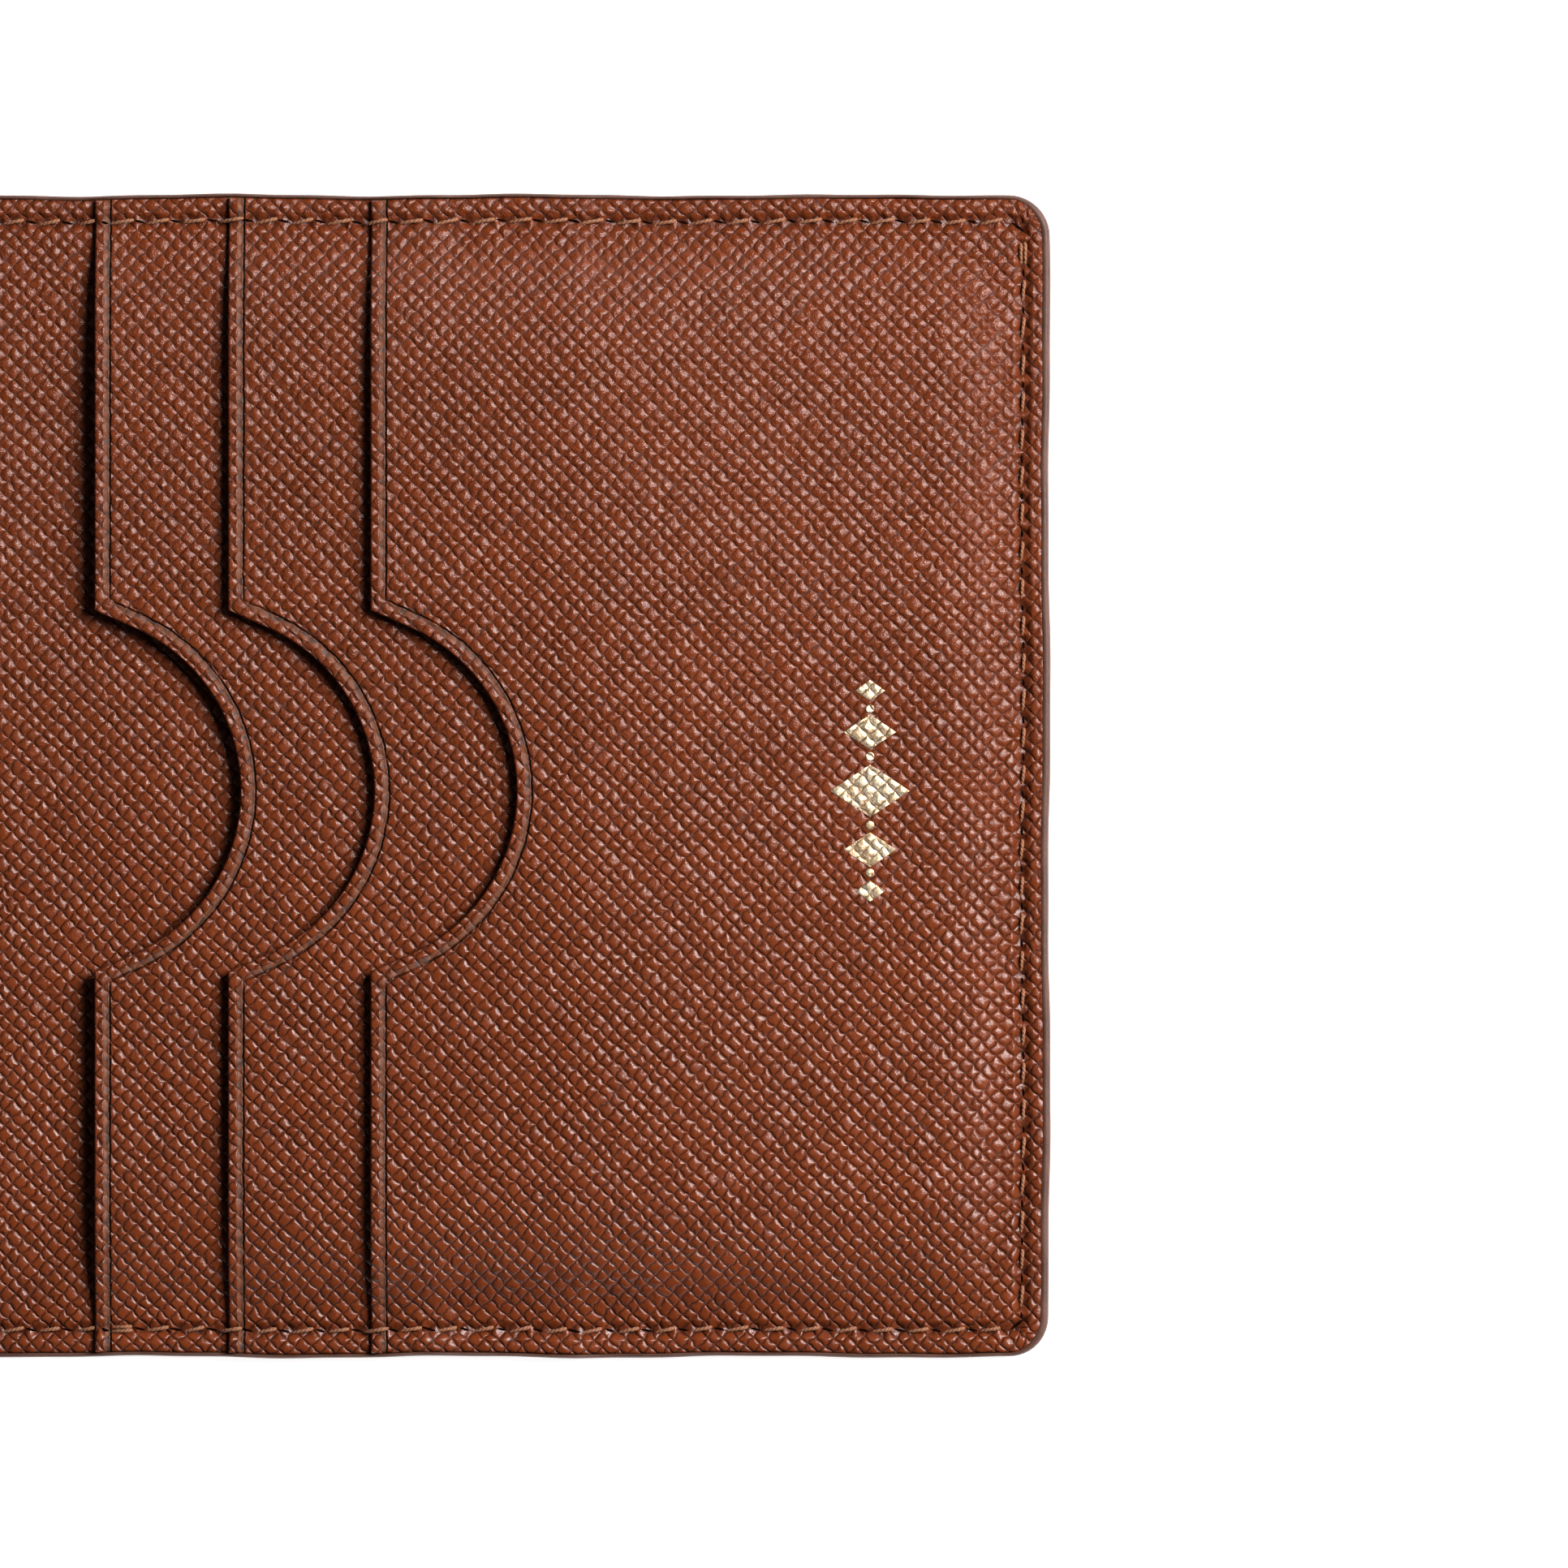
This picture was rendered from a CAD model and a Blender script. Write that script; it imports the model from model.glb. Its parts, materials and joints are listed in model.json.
"""Looks for a bifold card wallet in cross-grained leather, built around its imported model.

Shapes are worked out in millimetres in flat leather coordinates and become meshes in metres. Every
half is made by the same functions: side is 1 for the right half and -1 for its mirror image.
"""

import json
import math
from collections import namedtuple

import bmesh
import bpy
import numpy as np
from bpy.props import FloatProperty, FloatVectorProperty, IntProperty, PointerProperty
from bpy.types import Operator, Panel, PropertyGroup
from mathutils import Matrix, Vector


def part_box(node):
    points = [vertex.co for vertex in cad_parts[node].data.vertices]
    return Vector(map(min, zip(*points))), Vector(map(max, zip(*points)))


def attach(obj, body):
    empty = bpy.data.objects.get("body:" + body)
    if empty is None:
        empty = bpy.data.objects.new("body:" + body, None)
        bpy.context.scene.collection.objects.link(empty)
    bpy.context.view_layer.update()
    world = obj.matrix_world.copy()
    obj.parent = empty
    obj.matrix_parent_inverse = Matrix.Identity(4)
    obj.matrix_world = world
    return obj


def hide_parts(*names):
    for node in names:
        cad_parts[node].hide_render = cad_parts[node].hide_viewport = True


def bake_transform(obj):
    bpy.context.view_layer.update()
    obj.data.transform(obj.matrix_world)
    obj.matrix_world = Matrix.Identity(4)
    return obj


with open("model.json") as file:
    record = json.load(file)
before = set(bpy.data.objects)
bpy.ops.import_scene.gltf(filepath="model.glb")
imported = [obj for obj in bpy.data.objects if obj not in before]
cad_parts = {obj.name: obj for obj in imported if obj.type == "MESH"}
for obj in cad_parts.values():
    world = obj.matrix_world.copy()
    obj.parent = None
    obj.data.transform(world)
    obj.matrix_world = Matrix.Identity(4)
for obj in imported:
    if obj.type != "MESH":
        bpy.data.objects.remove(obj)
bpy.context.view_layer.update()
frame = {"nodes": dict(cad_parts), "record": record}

bl_info = {
    "name": "Card Wallet",
    "version": (1, 0, 0),
    "blender": (4, 5, 0),
    "location": "3D View > Sidebar > Wallet",
    "description": "Builds the leather, linings, stitches, painted edge and foil of a bifold card wallet",
    "category": "Object",
}

MM = 0.001
RIGHT, LEFT = 1, -1
SIDE_NAMES = {RIGHT: "right", LEFT: "left"}
COVERS = {RIGHT: "right_cover", LEFT: "left_cover"}


# ---------------------------------------------------------------- sizes from the frame, in millimetres


def span(node):
    """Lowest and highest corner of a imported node, in millimetres."""
    low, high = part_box(node)
    return np.array(low) / MM, np.array(high) / MM


HINGES = {joint["name"]: joint for joint in frame["record"]["behaviour"]["joints"]}
FOLD_X = HINGES["fold_right"]["pos_m"][0] / MM
FOLD_LEVEL = HINGES["fold_right"]["pos_m"][2] / MM
HALF_WIDTH, HALF_HEIGHT = span("right_edge_paint")[1][:2]
SHELL_TOP = span("spine_shell")[1][2]
BOARD_LOW, BOARD_HIGH = span("right_stiffener_board")
SLOT_MOUNTS = {mount["name"]: mount for mount in frame["record"]["mounts"]}
NOTCH_SHIFT = SLOT_MOUNTS["right_front_card_slot"]["pos_m"][1] / MM
FOIL_LOW, FOIL_HIGH = span("foil_ornament")

# Sizes that the frame doesn't state
LEATHER = 0.5
CORNER_RADIUS = 3.2
NOTCH_RADIUS = 14.25
NOTCH_SETBACK = 2.6
NOTCH_FLARE = 0.42
SEAM_INSET = 2.2
SEAM_FLAT = 2.8
SEAM_RISE_END = 10.4  # from the outer edge
SIDE_RISE_END = 14.0  # from the two long edges
STEP_RAMP = 2.6
FRONT_FALL = 2.02  # the front panel comes down this far past the strips' ends
CARD_DEPTH = 52.0
BASE_FLANGE = 3.0
LINING = 0.12
LINING_MARGIN = 1.2  # pocket lining's edge, back from the mouth
LINING_SIDE = 8.2  # pocket lining's edge, in from the two long edges
SHELL_LINING = 0.18
LEATHER_INSET = 0.4  # leather stops this far inside the painted edge
CLOTH_INSET = 0.7  # and the shell lining this far
UNEVEN = 0.07  # slow rise and fall of the soft leather
SEAM_VALLEY = 0.13  # how deep the needle stitches pull into the margin
BOBBIN_VALLEY = 0.06  # and the bobbin stitches into the outer face
EDGE_FALL = 0.16  # how far both faces close in on the painted edge
FINE_MARGIN = 3.4  # the outer edge is meshed finely this far in
FINE_STEP = 0.17
FOLD_REACH = 2.5  # half the width over which leather turns round a fold line
SEAM_X = HALF_WIDTH - SEAM_INSET
SEAM_Y = HALF_HEIGHT - SEAM_INSET
NOTCH_HALF = math.sqrt(NOTCH_RADIUS**2 - NOTCH_SETBACK**2) + NOTCH_FLARE  # half the notch's mouth
TOUCH_ANGLE = math.atan2(NOTCH_HALF, NOTCH_SETBACK) - math.acos(
    NOTCH_RADIUS / math.hypot(NOTCH_HALF, NOTCH_SETBACK)
)
TOUCH_U, TOUCH_V = NOTCH_RADIUS * math.cos(TOUCH_ANGLE), NOTCH_RADIUS * math.sin(TOUCH_ANGLE)

Sheet = namedtuple("Sheet", "node mouth end top sheets_under ends_under notched gape")


def packed_sheet(node, sheets_under, ends_under, notched, gape):
    """A sheet of pocket leather as the frame has it on the right cover; gape lifts its mouth."""
    low, high = span(f"right_{node}")
    return Sheet(node, low[0], high[0], high[2], sheets_under, ends_under, notched, gape)


SLIP = packed_sheet("slip_panel", 0, (), False, 0.0)
FIRST = packed_sheet("first_pocket_strip", 1, (), True, 0.22)
SECOND = packed_sheet("second_pocket_strip", 2, (FIRST.end,), True, 0.0)
FRONT = packed_sheet("front_pocket_panel", 3, (FIRST.end, SECOND.end), True, 0.0)
SHEETS = (SLIP, FIRST, SECOND, FRONT)


# ------------------------------------------------------------------------------ settings of the add-on


class LeatherSettings(PropertyGroup):
    """Colours and grain of the leather."""

    colour: FloatVectorProperty(
        name="Leather", description="Colour of the raised grain", subtype="COLOR", size=3,
        default=(0.264, 0.053, 0.0135), min=0, max=1,
    )
    groove_colour: FloatVectorProperty(
        name="Groove", description="Colour in the grooves between the grain", subtype="COLOR", size=3,
        default=(0.058, 0.011, 0.0035), min=0, max=1,
    )
    rub_colour: FloatVectorProperty(
        name="Rub", description="Colour where the leather is creased and rubbed", subtype="COLOR", size=3,
        default=(0.24, 0.082, 0.036), min=0, max=1,
    )
    grain_pitch: FloatProperty(
        name="Grain pitch", description="Distance between the lines of the cross grain, in millimetres",
        default=0.9, min=0.3, max=3,
    )
    grain_angle: FloatProperty(
        name="Grain angle", description="Angle of the grain lines from the spine's cross direction",
        subtype="ANGLE", default=math.radians(44.5),
    )


class SewingSettings(PropertyGroup):
    """Sizes of the stitches."""

    pitch: FloatProperty(
        name="Pitch", description="Distance between stitches, in millimetres", default=2.87, min=1, max=6
    )
    thread: FloatProperty(
        name="Thread", description="Thickness of the thread, in millimetres", default=0.31, min=0.1, max=1
    )
    slant: FloatProperty(
        name="Slant", description="Angle of a stitch from the seam", subtype="ANGLE",
        default=math.radians(11),
    )
    colour: FloatVectorProperty(
        name="Thread colour", description="Colour of the waxed thread", subtype="COLOR", size=3,
        default=(0.44, 0.18, 0.085), min=0, max=1,
    )
    seed: IntProperty(name="Seed", description="Seed of the small unevenness of the stitches", default=7)


class StageSettings(PropertyGroup):
    """Light and floor."""

    key_watts: FloatProperty(name="Key light", description="Power of the main light", default=7.7, min=0)
    fill_watts: FloatProperty(name="Fill light", description="Power of the far light", default=0.1, min=0)
    sky: FloatProperty(name="Sky", description="Strength of the even light", default=0.015, min=0)


# ----------------------------------------------------------------------------------- shape of the wallet


def smooth(t):
    """Smooth step from 0 to 1."""
    t = np.clip(t, 0.0, 1.0)
    return t * t * (3 - 2 * t)


def bell(t):
    """A soft bump, 1 at the middle and about nothing past 2."""
    return np.exp(-t * t)


def ripple(a, b, phase=0.0):
    """Slow unevenness of hand-finished leather, between about -1 and 1."""
    return (
        0.5 * np.sin(0.11 * a + 0.07 * b + phase)
        + 0.3 * np.sin(0.23 * b - 0.13 * a + 1.7 + phase)
        + 0.2 * np.sin(0.37 * a + 0.19 * b + 0.6 - phase)
    )


def rounded_corner(x, y):
    """Bends the outer corners of a square plan to the wallet's corner radius."""
    u = (x - (HALF_WIDTH - CORNER_RADIUS)) / CORNER_RADIUS
    v = (np.abs(y) - (HALF_HEIGHT - CORNER_RADIUS)) / CORNER_RADIUS
    corner = (u > 0) & (v > 0)
    far = np.where(corner, np.hypot(u, v), 1.0)
    scale = np.where(corner, np.maximum(u, v) / np.maximum(far, 1e-6), 1.0)
    new_x = np.where(corner, HALF_WIDTH - CORNER_RADIUS + u * scale * CORNER_RADIUS, x)
    new_y = np.where(corner, np.sign(y) * (HALF_HEIGHT - CORNER_RADIUS + v * scale * CORNER_RADIUS), y)
    return new_x, new_y


def settled(x, y, z):
    """Cut and sewn edges aren't quite straight: everything at one place shifts together."""
    across = (np.abs(y) / HALF_HEIGHT) ** 6 * np.sign(y)
    along = (np.abs(x) / HALF_WIDTH) ** 8
    away = smooth((np.abs(x) - FOLD_X - FOLD_REACH) / 10)
    shift_y = 0.13 * across * away * ripple(2.2 * np.abs(x), 9 * np.sign(y))
    shift_x = 0.12 * along * ripple(1.7 * y, 4.0)
    return x + shift_x, y + shift_y, z


def edge_distance(x, y):
    """Distance in from the outer edge, before the corners are rounded."""
    return np.minimum(HALF_WIDTH - x, HALF_HEIGHT - np.abs(y))


def plateau(x, y):
    """0 on the sewn margin, rising in a puffed curve to 1 over the pockets."""
    far = 2.4
    from_x = np.maximum(SEAM_RISE_END - (HALF_WIDTH - x), 0) / (SEAM_RISE_END - SEAM_FLAT)
    from_y = np.maximum(SIDE_RISE_END - (HALF_HEIGHT - np.abs(y)), 0) / (SIDE_RISE_END - SEAM_FLAT)
    t = 1 - np.minimum((from_x**far + from_y**far) ** (1 / far), 1)
    return smooth(2.5 * t) ** 0.5 * (1 - (1 - t) ** 1.9)


def seam_level(x, sheets, ends):
    """Height of a sheet's top along the seam, coming down past the end of each strip below it."""
    level = FOLD_LEVEL + (sheets + 1) * LEATHER
    for end in ends:
        level = level - LEATHER * smooth((x - end) / STEP_RAMP)
    return level


def seam_dip(distance):
    """The valley that the stitches pull into the margin, and its fall towards the painted edge."""
    valley = SEAM_VALLEY * bell((distance - SEAM_INSET) / 0.55)
    return valley + EDGE_FALL * smooth((1.0 - distance) / 0.8)


def mouth_edge(sheet, y):
    """x of a pocket's mouth at each y, with the thumb notch cut into it."""
    if not sheet.notched:
        return np.full_like(y, sheet.mouth)
    v = np.abs(y - NOTCH_SHIFT)
    arc = np.sqrt(np.maximum(NOTCH_RADIUS**2 - v**2, 0)) - NOTCH_SETBACK
    flare = (NOTCH_HALF - v) / (NOTCH_HALF - TOUCH_V) * (TOUCH_U - NOTCH_SETBACK)
    return sheet.mouth + np.maximum(np.where(v < TOUCH_V, arc, flare), 0)


def mouth_distance(sheet, x, y):
    """True distance in from a pocket's mouth and thumb notch, and how near a corner that is."""
    if not sheet.notched:
        return x - sheet.mouth, np.zeros_like(x)
    v = np.abs(y - NOTCH_SHIFT)
    u = x - sheet.mouth + NOTCH_SETBACK
    to_corner = np.hypot(x - sheet.mouth, v - NOTCH_HALF)
    to_line = np.where(v >= NOTCH_HALF, x - sheet.mouth, to_corner)
    along_flare = np.array([TOUCH_U - NOTCH_SETBACK, TOUCH_V - NOTCH_HALF])
    along_flare = along_flare / np.hypot(*along_flare)
    to_flare = -(x - sheet.mouth) * along_flare[1] + (v - NOTCH_HALF) * along_flare[0]
    on_flare = (x - sheet.mouth) * along_flare[0] + (v - NOTCH_HALF) * along_flare[1] >= 0
    to_flare = np.where(on_flare, to_flare, to_corner)
    over_arc = u * TOUCH_V >= v * TOUCH_U
    to_notch = np.where(over_arc, np.hypot(u, v) - NOTCH_RADIUS, to_flare)
    distance = np.maximum(np.minimum(to_line, to_notch), 0)
    return distance, 1 - smooth((to_corner - 1.0) / 1.4)


CREASE = 0.98  # middle of the creased line, in from the mouth
LIP = 0.13  # rounding of the mouth's edge


def mouth_finish(distance, corner):
    """Rounded lip and creased line beside a mouth, as a depth; the crease runs out at a corner."""
    lip = np.maximum(LIP - distance, 0)
    rounding = LIP - np.sqrt(np.maximum(LIP**2 - lip**2, 0))
    crease = 0.08 * bell((distance - CREASE) / 0.22) * (1 - 0.8 * corner)
    return rounding + crease


def sheet_crown(sheet, x):
    """Height of a sheet between the seams."""
    crown = np.full_like(x, sheet.top) + sheet.gape * np.exp(-np.maximum(x - sheet.mouth, 0) / 3.5)
    if sheet is SLIP:
        crown = crown - 0.32 * smooth((x - SLIP.mouth - 2) / 9)
    if sheet is FRONT:
        along = (x - SECOND.end - 0.5) / (HALF_WIDTH - SEAM_RISE_END - SECOND.end)
        crown = crown - FRONT_FALL * (0.5 * np.clip(along, 0, 1) + 0.5 * smooth(along))
    return crown


def sheet_top(sheet, x, y, finished=True):
    """Height of a sheet's top face; the unfinished one has no dips, for its underside."""
    seam = seam_level(x, sheet.sheets_under, sheet.ends_under)
    height = plateau(x, y)
    top = seam + (sheet_crown(sheet, x) - seam) * height
    top = top + UNEVEN * height * ripple(x, y, 0.4)
    if finished:
        top = top - seam_dip(edge_distance(x, y)) - mouth_finish(*mouth_distance(sheet, x, y))
    return top


def lining_top(x, y):
    """Height of the shell lining, flat at the fold and stepping up over the stiffener board."""
    margin = np.minimum(np.minimum(x - BOARD_LOW[0], BOARD_HIGH[0] - x), BOARD_HIGH[1] - np.abs(y))
    return FOLD_LEVEL + (BOARD_HIGH[2] - SHELL_TOP) * smooth((margin + 0.8) / 0.8)


def spine_arch(x):
    """The spine of a wallet that has been shut stays a little arched."""
    return 0.06 * smooth((FOLD_X - np.abs(x)) / FOLD_X + 0.35)


def stack_top(x, y):
    """Height of whatever leather or lining shows at a place on the sewn margin."""
    x, y = np.asarray(x, float), np.asarray(y, float)
    top = lining_top(x, y) + spine_arch(x) - seam_dip(edge_distance(x, y))
    for sheet in SHEETS:
        top = np.where(x >= sheet.mouth, sheet_top(sheet, x, y), top)
    return top


# ------------------------------------------------------------------------------------------ mesh building


def graded(start, end, spacing):
    """Places from start to end whose distances follow spacing(place)."""
    places = [start]
    while places[-1] < end:
        places.append(places[-1] + spacing(places[-1]))
    places = np.array(places)
    return start + (places - start) * (end - start) / (places[-1] - start)


def joined(*runs):
    """One run of places out of several that meet end to end."""
    return np.concatenate([runs[0]] + [run[1:] for run in runs[1:]])


def row_places(inset, notched):
    """Places along the spine's direction, close together at the seams, the notch and its corners."""
    edge = HALF_HEIGHT - inset

    def spacing(y):
        from_edge = HALF_HEIGHT - abs(y)
        step = FINE_STEP if from_edge < FINE_MARGIN else 0.35 if from_edge < SEAM_RISE_END else 0.85
        if notched:
            v = abs(y - NOTCH_SHIFT)
            if abs(v - NOTCH_HALF) < 1.5:
                return 0.11
            if v < NOTCH_HALF:
                return min(step, max(0.11, 0.55 * math.sqrt(max(1 - (v / NOTCH_RADIUS) ** 2, 0))))
        return step

    if not notched:
        return graded(-edge, edge, spacing)
    low, high = NOTCH_SHIFT - NOTCH_HALF, NOTCH_SHIFT + NOTCH_HALF
    return joined(graded(-edge, low, spacing), graded(low, high, spacing), graded(high, edge, spacing))


NEAR_MOUTH = np.array([0, 0.02, 0.05, 0.09, 0.14, 0.3, 0.5, 0.64, 0.73, 0.82, 0.9, 0.98, 1.06, 1.14, 1.23,
                       1.32, 1.46, 1.7, 2.1, 2.7])


def column_places(sheet, rows, reaches_edge, inset):
    """x of every grid point of a sheet, following its mouth at one side and straight at the other."""
    edge = mouth_edge(sheet, rows)[:, None]
    near = edge + NEAR_MOUTH
    far_start = HALF_WIDTH - SEAM_RISE_END - 0.8 if reaches_edge else sheet.end
    count = int((far_start - sheet.mouth) / 0.95)
    share = (np.arange(1, count + 1) / count)[None, :]
    middle = near[:, -1:] + (far_start - near[:, -1:]) * share
    if not reaches_edge:
        return np.hstack([near, middle])
    far = graded(far_start, HALF_WIDTH - inset,
                 lambda x: FINE_STEP if HALF_WIDTH - x < FINE_MARGIN else 0.4)[1:]
    return np.hstack([near, middle, np.broadcast_to(far, (len(rows), len(far)))])


def grid_faces(rows, columns, first, flip):
    """Quads of a grid of points, facing up, or down if flipped."""
    index = first + np.arange(rows * columns).reshape(rows, columns)
    quads = np.stack([index[:-1, :-1], index[:-1, 1:], index[1:, 1:], index[1:, :-1]], axis=-1)
    quads = quads.reshape(-1, 4)
    return quads[:, ::-1] if flip else quads


def strip_faces(ring_a, ring_b):
    """Quads between two open rings of points."""
    return np.stack([ring_a[:-1], ring_a[1:], ring_b[1:], ring_b[:-1]], axis=-1)


def new_mesh(name, points, quads, side, flat, over_spine=False):
    """A mesh in metres, mirrored for the left side, with a UV map in flat leather coordinates."""
    points = np.asarray(points, float)
    flat = np.asarray(flat, float)
    mirror = np.array([side, 1, 1])
    quads = np.asarray(quads)
    if side == LEFT:
        quads = quads[:, ::-1]
    mesh = bpy.data.meshes.new(name)
    mesh.from_pydata((points * mirror * MM).tolist(), [], quads.tolist())
    loops = np.empty(len(mesh.loops), np.int32)
    mesh.loops.foreach_get("vertex_index", loops)
    uv = mesh.uv_layers.new(name="flat")
    # one UV unit is 100 mm of leather; what runs over the spine is one sheet, the rest is cut elsewhere
    if over_spine:
        coords = (flat[loops] * [side, 1] + [0, 60]) / 100
    else:
        coords = (flat[loops] + [0 if side == RIGHT else 230, 60]) / 100
    uv.data.foreach_set("uv", coords.astype(np.float32).ravel())
    mesh.shade_smooth()
    return mesh


def new_object(name, mesh, materials=()):
    """An object at the origin with its materials."""
    for material in materials:
        mesh.materials.append(material)
    piece = bpy.data.objects.new(name, mesh)
    bpy.context.scene.collection.objects.link(piece)
    return piece


def give_attribute(mesh, name, *values):
    """Stores a number on every point, 0 past the last given one, for the materials to read."""
    given = np.concatenate([np.ravel(part) for part in values])
    numbers = np.zeros(len(mesh.vertices), np.float32)
    numbers[:len(given)] = given
    mesh.attributes.new(name, "FLOAT", "POINT").data.foreach_set("value", numbers)


def get_points(mesh):
    """The points of a mesh as rows of x, y and z."""
    points = np.empty(len(mesh.vertices) * 3, np.float32)
    mesh.vertices.foreach_get("co", points)
    return points.reshape(-1, 3)


def close_and_turn_outwards(mesh):
    """Closes a mesh's open ends, where it has any, and turns its faces outwards."""
    work = bmesh.new()
    work.from_mesh(mesh)
    bmesh.ops.holes_fill(work, edges=[edge for edge in work.edges if edge.is_boundary])
    bmesh.ops.recalc_face_normals(work, faces=work.faces)
    work.to_mesh(mesh)
    work.free()


def put_on_cover(piece, side, node):
    """Fixes a piece to its cover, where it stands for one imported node."""
    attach(piece, COVERS[side])
    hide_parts(node)


def put_over_fold(piece, side, node):
    """Bends a piece round its fold line; the right one stands for the spine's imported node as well."""
    bend_at_fold(piece)
    if node:
        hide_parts(f"{SIDE_NAMES[side]}_{node}", *([f"spine_{node}"] if side == RIGHT else []))


def slab(name, grid_x, grid_y, top, bottom, side, materials, lip_out=None, over_spine=False):
    """A closed sheet between two heights over one grid; lip_out bulges its rim at the first column."""
    rows, columns = grid_x.shape
    x, y = rounded_corner(grid_x, grid_y)
    layers = []
    for height in (top, bottom):
        layers.append(np.stack(settled(x, y, height), axis=-1).reshape(-1, 3))
    flat = np.stack([grid_x, grid_y], axis=-1).reshape(-1, 2)
    size = rows * columns
    index = np.arange(size).reshape(rows, columns)
    quads = [grid_faces(rows, columns, 0, False), grid_faces(rows, columns, size, True)]
    below = index + size
    quads.append(strip_faces(index[::-1, -1], below[::-1, -1]))
    quads.append(strip_faces(index[0, ::-1], below[0, ::-1]))
    quads.append(strip_faces(index[-1], below[-1]))
    leather_faces = sum(len(part) for part in quads)
    points, flats = [layers[0], layers[1]], [flat, flat]
    if lip_out is None:
        quads.append(strip_faces(index[:, 0], below[:, 0]))
        rim_faces = 0
    else:
        rings = [index[:, 0]]
        first = 2 * size
        upper, lower = layers[0].reshape(rows, columns, 3)[:, 0], layers[1].reshape(rows, columns, 3)[:, 0]
        for share, bulge in ((0.25, 0.035), (0.6, 0.05), (0.9, 0.02)):
            ring = upper + (lower - upper) * share
            ring[:, :2] += lip_out * bulge
            points.append(ring)
            flats.append(flat.reshape(rows, columns, 2)[:, 0] + lip_out * share * LEATHER)
            rings.append(first + np.arange(rows))
            first += rows
        rings.append(below[:, 0])
        rim = [strip_faces(a, b) for a, b in zip(rings[:-1], rings[1:])]
        rim_faces = sum(len(part) for part in rim)
        quads += rim
    mesh = new_mesh(name, np.vstack(points), np.vstack(quads), side, np.vstack(flats), over_spine)
    if rim_faces:
        slots = np.zeros(len(mesh.polygons), np.int32)
        slots[leather_faces:] = 1
        mesh.polygons.foreach_set("material_index", slots)
    flat_x, flat_y = np.vstack(flats).T
    from_end, from_side = SEAM_X - flat_x, SEAM_Y - np.abs(flat_y)
    give_attribute(mesh, "seam_offset", np.minimum(from_end, from_side))
    give_attribute(mesh, "seam_run", np.where(from_end < from_side, flat_y, flat_x))
    return new_object(name, mesh, materials)


# ------------------------------------------------------------------------------------- shader node helpers


class Wiring:
    """Adds nodes to a material, a shader group or a geometry tree, left to right."""

    def __init__(self, tree):
        self.tree = tree

    def node(self, kind, inputs=None, **settings):
        """A node with its settings and inputs; an input is a value or another node's output."""
        node = self.tree.nodes.new(kind)
        for key, value in settings.items():
            setattr(node, key, value)
        for key, value in (inputs or {}).items():
            self.feed(node.inputs[key], value)
        return node

    def feed(self, socket, value):
        """Links an output to a socket, or sets the socket's own value."""
        if isinstance(value, bpy.types.NodeSocket):
            self.tree.links.new(value, socket)
        else:
            socket.default_value = value

    def math(self, operation, *values):
        """A Math node's result."""
        return self.node("ShaderNodeMath", dict(enumerate(values)), operation=operation).outputs[0]

    def times(self, a, b):
        """a times b."""
        return self.math("MULTIPLY", a, b)

    def times_plus(self, a, b, c):
        """a times b, plus c."""
        return self.math("MULTIPLY_ADD", a, b, c)

    def less(self, a, b):
        """a less b."""
        return self.math("SUBTRACT", a, b)

    def size(self, a):
        """a without its sign."""
        return self.math("ABSOLUTE", a)

    def parts(self, vector):
        """The three numbers of a vector."""
        return self.node("ShaderNodeSeparateXYZ", {0: vector}).outputs

    def vector(self, *parts):
        """A vector of two or three numbers."""
        return self.node("ShaderNodeCombineXYZ", dict(enumerate(parts))).outputs[0]

    def mix(self, factor, a, b, blend="MIX"):
        """A colour mixed from two."""
        node = self.node("ShaderNodeMix", data_type="RGBA", blend_type=blend)
        self.feed(node.inputs[0], factor)
        self.feed(node.inputs[6], a)
        self.feed(node.inputs[7], b)
        return node.outputs[2]

    def ease(self, value, low, high, to_low=0.0, to_high=1.0):
        """A value carried smoothly from one range to another, and held at its ends."""
        node = self.node("ShaderNodeMapRange", interpolation_type="SMOOTHSTEP")
        for key, item in enumerate((value, low, high, to_low, to_high)):
            self.feed(node.inputs[key], item)
        return node.outputs[0]

    def noise(self, vector, scale, detail=2.0, roughness=0.5, dimensions="3D"):
        """A noise's value from 0 to 1."""
        inputs = {"Vector": vector, "Scale": scale, "Detail": detail, "Roughness": roughness}
        return self.node("ShaderNodeTexNoise", inputs, noise_dimensions=dimensions).outputs["Fac"]


def tone(colour, share=1.0):
    """A share of a colour, opaque."""
    return (*[min(1.0, share * part) for part in colour], 1.0)


def node_group(name, kind, inputs, outputs, build):
    """A node group with named inputs and outputs, built once."""
    group = bpy.data.node_groups.get(name)
    if group:
        return group
    group = bpy.data.node_groups.new(name, kind)
    for label, socket_kind, default in inputs:
        socket = group.interface.new_socket(label, in_out="INPUT", socket_type=socket_kind)
        if default is not None:
            socket.default_value = default
    for label, socket_kind in outputs:
        group.interface.new_socket(label, in_out="OUTPUT", socket_type=socket_kind)
    entry = group.nodes.new("NodeGroupInput")
    leave = group.nodes.new("NodeGroupOutput")
    for label, value in build(Wiring(group), entry.outputs).items():
        group.links.new(value, leave.inputs[label])
    return group


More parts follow.
